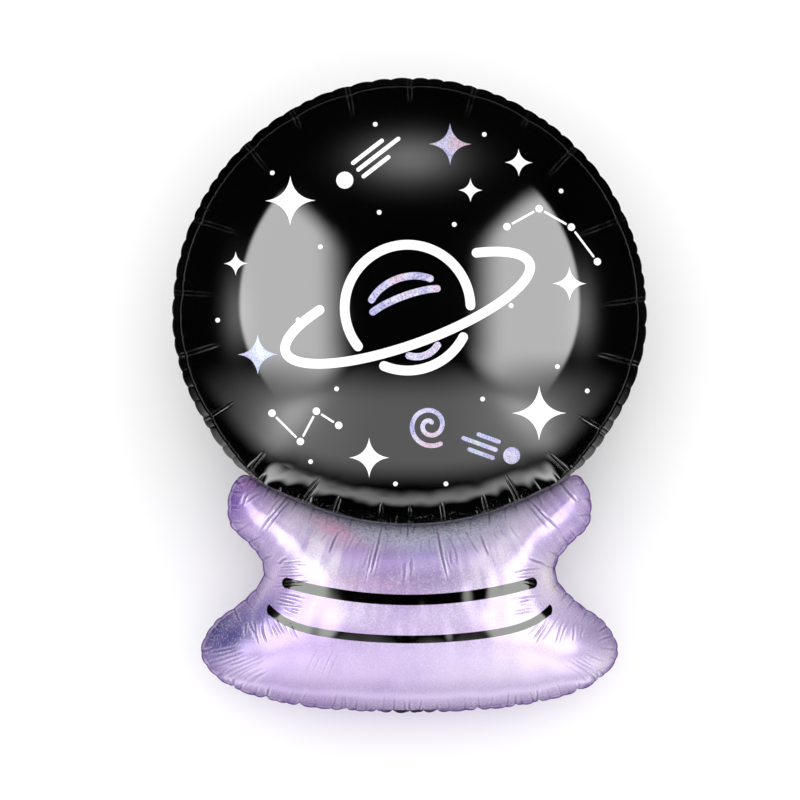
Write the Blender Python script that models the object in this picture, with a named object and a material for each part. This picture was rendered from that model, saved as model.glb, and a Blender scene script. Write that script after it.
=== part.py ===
"""Crystal ball foil balloon, lying on its back with its printed side up.

Two sealed foil chambers are modelled as two solids: the round black ball, and the lilac stand
with its horns, waist and flared foot. Each chamber is a pair of foil sheets that swell away
from a flat welded rim. Both are built flat in the balloon's own plane, where x runs across,
y runs from the foot to the top of the ball and z is the thickness. An empty then tilts them,
so that both bellies lie on the floor, each on a small flat spot.
"""

import math

import bmesh
import bpy
import numpy as np
from mathutils import Matrix, Vector

# Sizes in metres
BALL_RADIUS = 0.237
BALL_DROP = 0.2085
SHOULDER_SWELL = 0.0055
STAND_HEIGHT = 0.238
STAND_HALF_WIDTH = 0.2083
STAND_THICKNESS = 0.152
WELD_WIDTH = 0.003
WELD_THICKNESS = 0.0012
SEAM_GAP = 0.0003
PUCKER_NOTCH = 0.0016
PUCKER_DENT = 0.0045
FLAT_DEPTH = 0.003

# Angles at the ball's centre, in degrees, from straight down
SEAM_HALF_ANGLE = 45.0
SHOULDER_ANGLE = 48.0
SHOULDER_SPREAD = 12.0

# How finely the chambers are divided
BALL_PUCKERS = 24
SPOKES_PER_PUCKER = 4
BALL_RINGS = 11
STAND_RINGS = 9
SIDE_SPOKES = 28

# One side of the stand, from its horn beside the ball down to the middle of its foot, as
# shares of its half width and of its height
STAND_SIDE = (
    (0.800, 0.000),
    (0.834, 0.020),
    (0.870, 0.095),
    (0.860, 0.208),
    (0.770, 0.289),
    (0.709, 0.363),
    (0.713, 0.443),
    (0.809, 0.534),
    (0.934, 0.616),
    (1.000, 0.725),
    (0.960, 0.817),
    (0.816, 0.905),
    (0.528, 0.968),
    (0.206, 0.992),
    (0.000, 1.000),
)
STAND_CENTRE_SHARE = 0.50

# Where a crease starts and is deepest, and the band at the rim where it dies out, as shares
# of the way out from a chamber's centre
CREASE_START = 0.55
CREASE_DEEPEST = 0.95
CREASE_END = 1.0
CREASE_END_BAND = 0.03

# How finely curves are measured, and the most that smooth shading bends over, in degrees
SLOPE_STEPS = 64
LINE_STEPS = 16
TILT_STEPS = 50
TILT_LIMIT = 45.0
SMOOTH_ANGLE = 40.0


def clear_scene():
    """Removes whatever the file holds."""
    for old in list(bpy.data.objects):
        bpy.data.objects.remove(old, do_unlink=True)


def swell(slope):
    """Height of an inflated pair of round foil sheets of radius 1, where the foil slopes so much."""
    angles = np.linspace(slope, math.pi / 2, SLOPE_STEPS)
    roots = np.sqrt(np.sin(angles))
    return 0.5 * float(np.sum((roots[1:] + roots[:-1]) / 2 * np.diff(angles)))


def slope_at(share):
    """Slope of the same foil at a share of its radius."""
    return math.asin(min(1.0, share * share))


def ball_reach(angle):
    """The ball's radius at an angle from straight down: round above, a little flatter below."""
    down = max(0.0, math.cos(angle))
    across = math.sin(angle)
    drop = BALL_DROP if down > 0 else BALL_RADIUS
    reach = 1 / math.hypot(across / BALL_RADIUS, math.cos(angle) / drop)
    off = (abs(angle) - math.radians(SHOULDER_ANGLE)) / math.radians(SHOULDER_SPREAD)
    return reach + SHOULDER_SWELL * math.exp(-off * off)


def creased(spokes):
    """1 for each numbered spoke where the foil is gathered into a crease, and 0 between them."""
    return np.where(np.array(spokes) % SPOKES_PER_PUCKER == SPOKES_PER_PUCKER // 2, 1.0, 0.0)


def ball_outline():
    """The ball's rim, anticlockwise from straight down, notched at its creases, and its creases."""
    count = BALL_PUCKERS * SPOKES_PER_PUCKER
    creases = creased(range(count))
    points = []
    for spoke, crease in enumerate(creases):
        angle = 2 * math.pi * spoke / count
        if angle > math.pi:
            angle -= 2 * math.pi
        reach = ball_reach(angle) - PUCKER_NOTCH * crease
        points.append((reach * math.sin(angle), -reach * math.cos(angle)))
    return np.array(points), creases


def smooth_line(points, count):
    """Points spaced evenly along a smooth curve through the given points."""
    knots = np.array([2 * points[0] - points[1], *points, 2 * points[-1] - points[-2]])
    fine = []
    for before, start, end, after in zip(knots, knots[1:], knots[2:], knots[3:]):
        for t in np.linspace(0, 1, LINE_STEPS, endpoint=False):
            fine.append(0.5 * (2 * start + (end - before) * t
                               + (2 * before - 5 * start + 4 * end - after) * t ** 2
                               + (3 * start - before - 3 * end + after) * t ** 3))
    fine.append(knots[-2])
    fine = np.array(fine)
    run = np.concatenate([[0], np.cumsum(np.linalg.norm(np.diff(fine, axis=0), axis=1))])
    even = np.linspace(0, run[-1], count)
    return np.column_stack([np.interp(even, run, fine[:, axis]) for axis in (0, 1)])


def stand_outline(ball):
    """The stand's rim, anticlockwise from its right horn, and its creases. It follows the ball's
    own rim along the seam, a gap away, and then goes round the left side and the right."""
    half_seam = round(SEAM_HALF_ANGLE / 360 * len(ball))
    seam = ball[np.arange(half_seam, -half_seam - 1, -1)]
    seam = seam * (1 + SEAM_GAP / np.linalg.norm(seam, axis=1))[:, None]
    corner = seam[0]
    side = np.array([(share * STAND_HALF_WIDTH, corner[1] - down * STAND_HEIGHT)
                     for share, down in STAND_SIDE])
    right = smooth_line(np.vstack([corner, side]), SIDE_SPOKES + 1)
    left = right * (-1, 1)
    loop = np.vstack([seam, left[1:], right[-2:0:-1]])
    creases = creased(half_seam - np.arange(len(loop)))
    past_seam = np.arange(len(loop)) >= len(seam)
    return moved_in(loop, PUCKER_NOTCH * creases * past_seam), creases


def moved_in(outline, distance):
    """A closed anticlockwise outline moved inwards, by one distance or by one for each point."""
    along = np.roll(outline, -1, axis=0) - np.roll(outline, 1, axis=0)
    along /= np.linalg.norm(along, axis=1)[:, None]
    inwards = np.column_stack([-along[:, 1], along[:, 0]])
    return outline + inwards * np.reshape(distance, (-1, 1))


def sheet_points(outline, centre, shares):
    """Rings of points from the outline in to the centre, and the centre last."""
    rings = [centre + (outline - centre) * share for share in shares]
    return np.vstack([*rings, centre])


def sheet_faces(spokes, rings):
    """Quads between the rings and triangles round the centre, as point numbers."""
    faces = []
    for ring in range(rings - 1):
        for spoke in range(spokes):
            beside = (spoke + 1) % spokes
            outer = ring * spokes
            inner = outer + spokes
            faces.append((outer + spoke, outer + beside, inner + beside, inner + spoke))
    last = (rings - 1) * spokes
    for spoke in range(spokes):
        faces.append((last + spoke, last + (spoke + 1) % spokes, rings * spokes))
    return faces


def membrane(points, faces, held):
    """Sag of an evenly loaded skin held along its rim: the shape that gas pushes it towards."""
    size = len(points)
    stiff = np.zeros((size, size))
    load = np.zeros(size)
    triangles = [(face[0], face[k], face[k + 1]) for face in faces for k in range(1, len(face) - 1)]
    for triangle in triangles:
        corners = points[list(triangle)]
        first = corners[1] - corners[0]
        second = corners[2] - corners[0]
        area = 0.5 * abs(first[0] * second[1] - first[1] * second[0])
        opposite = np.roll(corners, -1, axis=0) - np.roll(corners, 1, axis=0)
        stiff[np.ix_(triangle, triangle)] += opposite @ opposite.T / (4 * area)
        load[list(triangle)] += area / 3
    free = np.arange(held, size)
    sag = np.zeros(size)
    sag[free] = np.linalg.solve(stiff[np.ix_(free, free)], load[free])
    return sag


def crease_dents(creases, shares):
    """How far the creases press the foil in, on each ring and at the centre."""
    out = np.array(shares)
    growing = np.clip((out - CREASE_START) / (CREASE_DEEPEST - CREASE_START), 0, 1)
    ending = np.clip((CREASE_END - out) / CREASE_END_BAND, 0, 1)
    return PUCKER_DENT * np.concatenate([np.outer(growing * ending, creases).ravel(), [0]])


def chamber(outline, creases, centre, shares, height_at):
    """A closed chamber: a front and a back sheet, a flat weld round them and its thin edge."""
    spokes = len(outline)
    points = sheet_points(moved_in(outline, WELD_WIDTH), centre, shares)
    faces = sheet_faces(spokes, len(shares))
    heights = height_at(points, faces) - crease_dents(creases, shares)
    heights = np.maximum(heights, 0) + WELD_THICKNESS / 2
    bm = bmesh.new()
    rims = []
    for side in (1, -1):
        rim = [bm.verts.new((x, y, side * WELD_THICKNESS / 2)) for x, y in outline]
        sheet = [bm.verts.new((x, y, side * z)) for (x, y), z in zip(points, heights)]
        for face in faces:
            corners = [sheet[number] for number in face]
            bm.faces.new(corners if side > 0 else corners[::-1])
        for spoke in range(spokes):
            beside = (spoke + 1) % spokes
            corners = [rim[spoke], rim[beside], sheet[beside], sheet[spoke]]
            bm.faces.new(corners if side > 0 else corners[::-1])
        rims.append(rim)
    front, back = rims
    for spoke in range(spokes):
        beside = (spoke + 1) % spokes
        bm.faces.new((front[spoke], back[spoke], back[beside], front[beside]))
    bmesh.ops.recalc_face_normals(bm, faces=bm.faces)
    bmesh.ops.triangulate(bm, faces=bm.faces)
    return bm


def make_ball(outline, creases):
    """The ball's chamber, with rings at even steps of slope, so that it is finest near the rim."""
    slopes = [math.pi / 2 * (BALL_RINGS - ring) / BALL_RINGS for ring in range(BALL_RINGS)]
    shares = [math.sqrt(math.sin(slope)) for slope in slopes]
    mean_radius = (BALL_RADIUS + BALL_DROP) / 2

    def height_at(points, faces):
        rings = [mean_radius * swell(slope) for slope in slopes]
        return np.concatenate([np.repeat(rings, len(outline)), [mean_radius * swell(0.0)]])

    return chamber(outline, creases, np.zeros(2), shares, height_at)


def make_stand(outline, creases):
    """The stand's chamber, thickest at its middle and thinner out in its horns and foot."""
    turns = [math.pi / 2 * (STAND_RINGS - ring) / STAND_RINGS for ring in range(STAND_RINGS)]
    shares = [math.sin(turn) for turn in turns]
    top = outline[:, 1].max()
    centre = np.array((0.0, top - STAND_CENTRE_SHARE * (top - outline[:, 1].min())))

    def height_at(points, faces):
        sag = membrane(points, faces, len(outline))
        shares_out = np.sqrt(np.maximum(0, 1 - sag / sag.max()))
        return np.array([STAND_THICKNESS / 2 * swell(slope_at(share)) / swell(0.0)
                         for share in shares_out])

    return chamber(outline, creases, centre, shares, height_at)


def lowest(bm, turn):
    """Height of a chamber's lowest point once the balloon is turned."""
    return min((turn @ vertex.co).z for vertex in bm.verts)


def lying_tilt(ball, stand):
    """The turn about X that lays the balloon on both bellies at once, ball end raised."""
    low, high = 0.0, math.radians(TILT_LIMIT)
    for _ in range(TILT_STEPS):
        middle = (low + high) / 2
        turn = Matrix.Rotation(middle, 3, "X")
        if lowest(ball, turn) < lowest(stand, turn):
            low = middle
        else:
            high = middle
    return (low + high) / 2


def cut_flat(bm, placed):
    """Flattens what would reach below the floor, in the chamber's own frame."""
    back = placed.inverted()
    floor_point = back @ Vector((0, 0, 0))
    floor_up = back.to_3x3() @ Vector((0, 0, 1))
    everything = [*bm.verts, *bm.edges, *bm.faces]
    bmesh.ops.bisect_plane(bm, geom=everything, plane_co=floor_point, plane_no=floor_up, clear_inner=True)
    rim = [edge for edge in bm.edges if edge.is_boundary]
    bmesh.ops.edgeloop_fill(bm, edges=rim)
    bmesh.ops.recalc_face_normals(bm, faces=bm.faces)


def foil(name, colour, roughness, metallic):
    """A foil finish."""
    material = bpy.data.materials.new(name)
    material.use_nodes = True
    shader = material.node_tree.nodes["Principled BSDF"]
    shader.inputs["Base Color"].default_value = (*colour, 1)
    shader.inputs["Roughness"].default_value = roughness
    shader.inputs["Metallic"].default_value = metallic
    return material


def add_piece(name, bm, material, holder):
    """A named, smooth shaded object made from a chamber, carried by the empty."""
    mesh = bpy.data.meshes.new(name)
    bm.to_mesh(mesh)
    bm.free()
    mesh.shade_smooth()
    mesh.set_sharp_from_angle(angle=math.radians(SMOOTH_ANGLE))
    mesh.materials.append(material)
    piece = bpy.data.objects.new(name, mesh)
    bpy.context.scene.collection.objects.link(piece)
    piece.parent = holder
    return piece


def main():
    clear_scene()
    ball_rim, ball_creases = ball_outline()
    ball = make_ball(ball_rim, ball_creases)
    stand = make_stand(*stand_outline(ball_rim))

    tilt = lying_tilt(ball, stand)
    turn = Matrix.Rotation(tilt, 3, "X")
    turned = [turn @ vertex.co for bm in (ball, stand) for vertex in bm.verts]
    lift = -min(point.z for point in turned) - FLAT_DEPTH
    forward = -(min(point.y for point in turned) + max(point.y for point in turned)) / 2

    holder = bpy.data.objects.new("lying_balloon", None)
    bpy.context.scene.collection.objects.link(holder)
    holder.location = (0, forward, lift)
    holder.rotation_euler = (tilt, 0, 0)
    placed = Matrix.Translation(holder.location) @ turn.to_4x4()
    cut_flat(ball, placed)
    cut_flat(stand, placed)

    add_piece("crystal_ball", ball, foil("black_foil", (0.012, 0.012, 0.014), 0.14, 0.0), holder)
    add_piece("stand", stand, foil("lilac_foil", (0.62, 0.50, 0.84), 0.32, 0.6), holder)


main()
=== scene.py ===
"""Looks for the crystal ball foil balloon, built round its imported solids.

Each chamber is a pair of fine foil sheets on the solid's own swollen shape, with a scalloped
weld, gathered creases and wrinkles. Both are made in the balloon's own plane, where x runs
across, y runs from the foot to the top of the ball, the ball's centre is the origin and z is
the thickness, and each is then placed as the solids lie.
"""

import math

import bpy
import numpy as np
from mathutils import Matrix, Vector
from mathutils.geometry import delaunay_2d_cdt


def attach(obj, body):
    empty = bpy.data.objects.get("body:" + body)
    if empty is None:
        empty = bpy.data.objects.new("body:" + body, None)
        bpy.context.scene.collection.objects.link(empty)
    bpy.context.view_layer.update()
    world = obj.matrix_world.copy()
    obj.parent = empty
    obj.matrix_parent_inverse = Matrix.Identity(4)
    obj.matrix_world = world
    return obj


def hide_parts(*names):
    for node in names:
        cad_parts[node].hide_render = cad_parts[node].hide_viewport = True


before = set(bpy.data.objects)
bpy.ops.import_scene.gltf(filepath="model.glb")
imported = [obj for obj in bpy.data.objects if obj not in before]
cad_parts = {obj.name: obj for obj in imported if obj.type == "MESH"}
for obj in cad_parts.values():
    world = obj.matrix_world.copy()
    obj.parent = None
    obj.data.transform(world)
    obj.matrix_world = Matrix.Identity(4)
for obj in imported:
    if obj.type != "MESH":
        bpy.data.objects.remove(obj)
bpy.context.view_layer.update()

# The solids' own sizes, in metres and degrees
BALL_RADIUS = 0.237
BALL_DROP = 0.2085
MEAN_RADIUS = (BALL_RADIUS + BALL_DROP) / 2
SHOULDER_SWELL = 0.0055
SHOULDER_ANGLE = 48.0
SHOULDER_SPREAD = 12.0
SEAM_HALF_ANGLE = 45.0
SEAM_GAP = 0.0003
STAND_HEIGHT = 0.238
STAND_HALF_WIDTH = 0.2083
STAND_THICKNESS = 0.152
WELD_THICKNESS = 0.0012
STAND_SIDE = (
    (0.800, 0.000), (0.834, 0.020), (0.870, 0.095), (0.860, 0.208), (0.770, 0.289),
    (0.709, 0.363), (0.713, 0.443), (0.809, 0.534), (0.934, 0.616), (1.000, 0.725),
    (0.960, 0.817), (0.816, 0.905), (0.528, 0.968), (0.206, 0.992), (0.000, 1.000),
)

# Welds: the stand's width, the ball's, and either along the seam between them. The seam's share
# fades between two cosines of the angle from straight down, and the arcs start past two more
WELD_WIDTH = 0.003
RIM_WELD_WIDTH = 0.0060
SEAM_WELD_WIDTH = 0.0008
WELD_BLEND = 8
SEAM_FADE = (0.60, 0.76)
ARCS_FADE = (math.cos(math.radians(SEAM_HALF_ANGLE)), 0.66)
BALL_SCALLOPS = (0.013, 0.024)
STAND_SCALLOPS = (0.010, 0.018)
SCALLOP_DEPTH = 0.0016
SCALLOP_PROUD = 0.0006
STAND_SCALLOP_DEPTH = SCALLOP_DEPTH * 0.8
STAND_PROUD = 0.0003
# Share of the creases' depth that shows at the ball's edge
NOTCH_SHARE = 0.35
# How far the weld's normals point sideways and up, at the rim and along the seam
EDGE_NORMAL = (0.5, 0.8)
SEAM_NORMAL = (1.0, 0.1)
SEAM_GLINTS = 0.30
GLINT_LEAN = 0.8

# The ball's gathered creases: degrees from straight down, and length in metres
BALL_CREASES = (
    (-164.7, 0.034), (180.0, 0.026), (163.9, 0.034), (149.0, 0.020), (135.3, 0.044),
    (114.3, 0.056), (93.9, 0.051), (77.8, 0.050), (59.3, 0.039), (45.0, 0.040), (30.5, 0.036),
    (21.7, 0.022), (9.6, 0.025), (0.3, 0.023), (-8.1, 0.025), (-20.9, 0.022), (-29.7, 0.035),
    (-45.6, 0.036), (-62.9, 0.040), (-79.8, 0.051), (-95.5, 0.042), (-114.0, 0.051),
    (-136.2, 0.041), (-150.0, 0.022),
)
CREASE_DEPTH = 0.00042
CREASE_WIDTH = 0.00085
CREASE_PAIR = 0.0020
CREASE_TAPER = 0.35
CREASE_TIP = 0.45
RIDGE_HEIGHT = 0.00045
RIDGE_WIDTH = 0.0018
CREASE_LEAN = 0.10
PILLOW_DEPTH = 0.0013
PILLOW_SEAM_DEPTH = 0.0018
PILLOW_WIDTH = 0.0085
FOLD_WIDTH = 0.0006
BACK_REACH = 0.6
CUSP_DEPTH = 0.0009
CUSP_REACH = 0.09
# Small wrinkles along the seam: weight, length and slant
SEAM_WAVES = ((0.6, 0.0031, 20), (1.0, 0.0051, -25), (1.8, 0.0087, 12), (1.0, 0.015, 45))
SEAM_WAVE_HEIGHT = 0.00014
SEAM_WAVE_FADE = (0.80, 0.95)

# The stand's own puckers, notches and dents
STAND_CUSP_DEPTH = 0.0012
STAND_CUSP_REACH = 0.006
PUCKER_CUSP = 0.35
PUCKER_REACH = (0.004, 0.015)
PUCKER_DEPTH = (0.00015, 0.00045)
PUCKER_WIDTH = 0.0009
PUCKER_LEAN = 0.35
NOTCH_DEPTH = 0.0028
NOTCH_REACH = 0.0026
NOTCH_CREASE_DEPTH = (0.0003, 0.0006)
NOTCH_CREASE_WIDTH = 0.0010
BACK_CREASES = 16
BACK_CREASE_LENGTH = 0.03
BACK_CREASE_DEPTH = 0.0005
BACK_CREASE_WIDTH = 0.0022
DENTS = 14
DENT_LENGTH = (0.022, 0.055)
DENT_DEPTH = 0.00007
CREASE_FADE = (-0.02, 0.03)
DENT_FADE = (0.05, 0.25)
FULL_FOLD = 0.0005

# How finely the sheets are divided
BALL_SPOKES = 1440
BALL_INNER_SHARE = 0.88
BALL_GRADING = (0.68, 0.76)
BALL_FRONT_RINGS = 24
BALL_BACK_RINGS = 12
BALL_SPACING = 0.0055
BALL_FRONT_FINE = 0.0016
BALL_BACK_FINE = 0.0034
STAND_FRONT_SPACING = 0.0016
STAND_FINE_SPACING = 0.0008
STAND_BACK_SPACING = 0.0024
STAND_SPOKES = 1000
STAND_RIM_STEPS = (0.0, 0.0003, 0.0010, 0.0020, 0.0032)
CREASE_STEP = 0.0007
CREASE_COLUMNS = 6
CREASE_CROWDING = 1.6
CROWDING_WIDTH = 0.0050
PRESSED = 0.00002
PRINT_STEP = 0.0022
PRINT_CLEAR = 0.0028

# The ball's centre in the photograph, which is 1 mm to the pixel
PHOTO_CENTRE = (409.5, 315.0)
# Creases of the stand: where each starts and ends in the photograph, depth and width in mm
STAND_CREASES = (
    (289, 495, 259, 531, 0.9, 1.0), (291, 500, 264, 531, 0.6, 0.9), (284, 495, 266, 514, 0.4, 0.8),
    (249, 492, 241, 505, 0.7, 1.1), (244, 503, 262, 492, 0.4, 1.0), (232, 486, 246, 480, 0.4, 1.0),
    (527, 498, 560, 530, 0.8, 1.0), (525, 503, 550, 529, 0.5, 0.9), (562, 486, 577, 501, 0.7, 1.1),
    (339, 530, 329, 552, 0.8, 1.1), (383, 523, 370, 574, 0.8, 1.1), (435, 523, 447, 575, 0.8, 1.1),
    (480, 533, 488, 556, 0.8, 1.1), (408, 523, 408, 541, 0.5, 1.0), (279, 563, 287, 557, 0.8, 1.2),
    (529, 557, 546, 565, 0.7, 1.2),
)
# Fans of creases: the first one's start and end, the last one's, how many, depth and width
STAND_FANS = (
    (279, 563, 304, 560, 278, 584, 305, 582, 9, 0.48, 0.8),
    (279, 592, 308, 598, 282, 612, 301, 617, 9, 0.48, 0.8),
    (207, 654, 240, 646, 238, 692, 276, 666, 11, 0.26, 0.9),
    (305, 672, 318, 648, 330, 676, 340, 652, 4, 0.14, 0.9),
    (609, 664, 584, 652, 590, 684, 566, 664, 5, 0.22, 0.9),
    (243, 624, 243, 634, 256, 618, 262, 641, 3, 0.42, 1.0),
    (261, 616, 268, 642, 272, 617, 282, 633, 4, 0.48, 1.0),
    (277, 617, 286, 634, 290, 618, 301, 640, 4, 0.40, 1.0),
    (541, 568, 515, 570, 543, 584, 518, 581, 6, 0.42, 0.8),
    (539, 592, 512, 596, 534, 608, 512, 613, 7, 0.42, 0.8),
    (558, 616, 546, 638, 568, 621, 562, 642, 3, 0.42, 1.0),
    (572, 622, 571, 641, 580, 625, 579, 637, 2, 0.35, 1.0),
    (542, 620, 527, 634, 549, 619, 536, 640, 3, 0.38, 1.0),
    (371, 543, 360, 575, 379, 545, 374, 576, 4, 0.45, 0.9),
    (403, 552, 403, 584, 412, 554, 412, 580, 4, 0.45, 0.9),
    (438, 543, 446, 578, 453, 542, 461, 574, 4, 0.45, 0.9),
    (352, 530, 340, 548, 398, 536, 396, 552, 7, 0.28, 0.9),
    (420, 536, 422, 552, 470, 530, 484, 550, 7, 0.28, 0.9),
    (316, 522, 305, 536, 330, 527, 321, 541, 3, 0.30, 0.9),
    (492, 527, 500, 541, 506, 522, 516, 536, 3, 0.30, 0.9),
)
# Notches of the foot's edge, as x in the photograph with the length of the crease above each
STAND_NOTCHES = (
    (233, 9), (266, 13), (299, 7), (346, 15), (376, 6), (392, 5), (410, 13), (424, 6), (437, 10),
    (478, 9), (516, 12), (539, 15), (578, 7), (600, 11),
)
STAND_STRIPES = (
    # Lowest y in the photograph, half length, width, rise of the ends and their extra rise
    (598.2, 0.1270, 0.0105, 0.0178, 0.0),
    (637.4, 0.1430, 0.0077, 0.0172, 0.0155),
)

# Each face's material number, black or lilac being 0, and the names of the meshes' own values
WHITE = 1
SILVER = 2
WELD_COLOUR = 3
OWN_PLACE = "own_place"
FOLD = "fold"

# Colours. Patches of painted highlight and painted shade, in the holographic foil's tints:
# photograph place, reach each way, turn in degrees, colour and strength
PAINTED_HIGHLIGHT_AND_SHADE_PATCHES = (
    ((320, 554), (60, 24), -58, (0.96, 0.88, 1.00), 1.00),
    ((494, 554), (56, 22), 55, (0.92, 0.84, 0.98), 1.00),
    ((270, 577), (15, 22), 0, (0.86, 0.68, 1.00), 0.90),
    ((550, 577), (16, 24), 0, (1.00, 0.92, 1.00), 0.95),
    ((604, 662), (15, 16), 0, (0.90, 0.80, 0.98), 0.90),
    ((262, 518), (40, 9), 40, (0.68, 0.52, 0.80), 0.60),
    ((330, 668), (70, 22), 0, (0.66, 0.53, 0.80), 0.70),
    ((505, 662), (70, 24), 0, (0.74, 0.64, 0.82), 0.75),
    ((345, 613), (44, 11), 0, (0.74, 0.63, 0.84), 0.75),
    ((475, 613), (44, 11), 0, (0.72, 0.62, 0.82), 0.75),
    ((411, 578), (62, 13), 0, (0.32, 0.26, 0.44), 0.85),
    ((433, 549), (30, 11), 8, (0.34, 0.37, 0.74), 0.75),
    ((372, 582), (44, 10), 0, (0.66, 0.42, 0.66), 0.55),
    ((376, 556), (46, 13), -12, (0.38, 0.25, 0.56), 0.75),
    ((450, 556), (40, 12), 12, (0.38, 0.28, 0.58), 0.60),
    ((226, 490), (26, 32), 0, (0.12, 0.01, 0.36), 1.00),
    ((252, 482), (26, 8), 20, (0.42, 0.15, 0.46), 0.65),
    ((593, 499), (11, 26), 0, (0.34, 0.20, 0.58), 0.65),
    ((566, 508), (16, 18), 40, (0.44, 0.32, 0.64), 0.50),
    ((224, 632), (40, 22), 20, (0.07, 0.06, 0.24), 1.00),
    ((216, 637), (26, 17), 20, (0.06, 0.05, 0.22), 1.00),
    ((224, 500), (12, 20), 0, (0.12, 0.02, 0.36), 1.00),
    ((270, 608), (28, 12), 30, (0.17, 0.14, 0.40), 0.85),
    ((600, 634), (27, 20), -20, (0.32, 0.25, 0.45), 0.80),
    ((252, 572), (7, 36), 0, (0.30, 0.19, 0.54), 0.60),
    ((290, 598), (22, 34), 0, (0.42, 0.31, 0.63), 0.45),
    ((208, 660), (26, 12), -30, (0.30, 0.21, 0.52), 0.60),
)
# Colour of a painted sheen on the stand just below the seam
PAINTED_SEAM_SHEEN = (0.78, 0.84, 0.98)
SEAM_PINK = (0.92, 0.46, 0.68)
SILVER_TINTS = (
    (0.34, (0.52, 0.57, 0.46)), (0.42, (0.38, 0.45, 0.72)), (0.50, (0.34, 0.30, 0.62)),
    (0.58, (0.58, 0.56, 0.80)), (0.68, (0.62, 0.42, 0.58)),
)
FOIL_IOR = 2.1

random = np.random.default_rng(7)


# Plane of the balloon

def widest(node):
    """Middle of a node's widest points, which lie in the balloon's own plane: its y and z."""
    points = np.array([vertex.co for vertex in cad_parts[node].data.vertices])
    reach = np.abs(points[:, 0])
    return points[reach > reach.max() - 0.00002, 1:].mean(axis=0)


ball_middle = widest("crystal_ball")
stand_middle = widest("stand")
tilt = math.atan2(ball_middle[1] - stand_middle[1], ball_middle[0] - stand_middle[0])
plane = Matrix.Translation((0, *ball_middle)) @ Matrix.Rotation(tilt, 4, "X")


# Shape of inflated foil

SLOPES = np.linspace(0, math.pi / 2, 4001)
ROOTS = np.sqrt(np.sin(SLOPES))
SWELLS = np.concatenate([[0], np.cumsum((ROOTS[1:] + ROOTS[:-1]) / 2 * SLOPES[1])])
SWELLS = (SWELLS[-1] - SWELLS) / 2


def swell(slope):
    """Height of an inflated pair of round sheets of radius 1, where the foil slopes so much."""
    return np.interp(slope, SLOPES, SWELLS)


def slope_at(share):
    """Slope of the same foil at a share of its radius."""
    return np.arcsin(np.clip(share, 0, 1) ** 2)


def step(values, start, end):
    """Smooth step from 0 at start to 1 at end."""
    t = np.clip((values - start) / (end - start), 0, 1)
    return t * t * (3 - 2 * t)


def towards(angle, distance):
    """Points by angle from straight down and distance from the ball's centre."""
    return np.column_stack([np.sin(angle), -np.cos(angle)]) * np.reshape(distance, (-1, 1))


def unit(vectors):
    """The vectors at length 1."""
    return vectors / np.linalg.norm(vectors, axis=1)[:, None]


def left_of(vectors):
    """The vectors turned a quarter to the left."""
    return np.column_stack([-vectors[:, 1], vectors[:, 0]])


def polar(points):
    """Angle from straight down, and distance."""
    return np.arctan2(points[:, 0], -points[:, 1]), np.hypot(points[:, 0], points[:, 1])


def ball_reach(angle):
    """The ball's radius at an angle from straight down."""
    down = np.cos(angle)
    drop = np.where(down > 0, BALL_DROP, BALL_RADIUS)
    reach = 1 / np.hypot(np.sin(angle) / BALL_RADIUS, down / drop)
    turn = np.abs(np.arctan2(np.sin(angle), down))
    off = (turn - math.radians(SHOULDER_ANGLE)) / math.radians(SHOULDER_SPREAD)
    return reach + SHOULDER_SWELL * np.exp(-off * off)


class Scallops:
    """Small uneven arcs round a rim, given its length and theirs: 0 along each arc's middle, 1 at
    its ends."""

    def __init__(self, length, arc_lengths):
        ends = [0.0]
        while ends[-1] < length:
            ends.append(ends[-1] + random.uniform(*arc_lengths))
        self.ends = np.array(ends) * length / ends[-1]
        self.depths = random.uniform(0.6, 1.0, len(ends))
        self.length = length

    def at(self, run):
        run = np.mod(run, self.length)
        cell = np.searchsorted(self.ends, run, side="right") - 1
        cell = np.clip(cell, 0, len(self.ends) - 2)
        t = (run - self.ends[cell]) / (self.ends[cell + 1] - self.ends[cell])
        return (2 * t - 1) ** 2 * self.depths[cell]

    def cell_share(self, run):
        """A share from 0.2 to 1 that belongs to the nearest end between two arcs."""
        middles = (self.ends[1:] + self.ends[:-1]) / 2
        nearest = np.searchsorted(middles, np.mod(run, self.length)) % len(middles)
        return 0.2 + 0.8 * np.mod(nearest * 0.618, 1.0)


ball_scallops = Scallops(2 * math.pi * BALL_RADIUS, BALL_SCALLOPS)
crease_leans = random.uniform(-CREASE_LEAN, CREASE_LEAN, len(BALL_CREASES))


def across_crease(angle, share, number):
    """Distance sideways from one of the ball's creases."""
    off = angle - math.radians(BALL_CREASES[number][0])
    across = np.arctan2(np.sin(off), np.cos(off)) * share * BALL_RADIUS
    return across + crease_leans[number] * (1 - share) * BALL_RADIUS


def fold_pair(share, length):
    """How far a crease has grown at a share of the way out, and how far its two fold lines are
    from its middle."""
    grown = step(length - (1 - share) * BALL_RADIUS, 0, length * CREASE_TAPER)
    return grown, CREASE_PAIR * (CREASE_TIP + (1 - CREASE_TIP) * grown)


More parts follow.
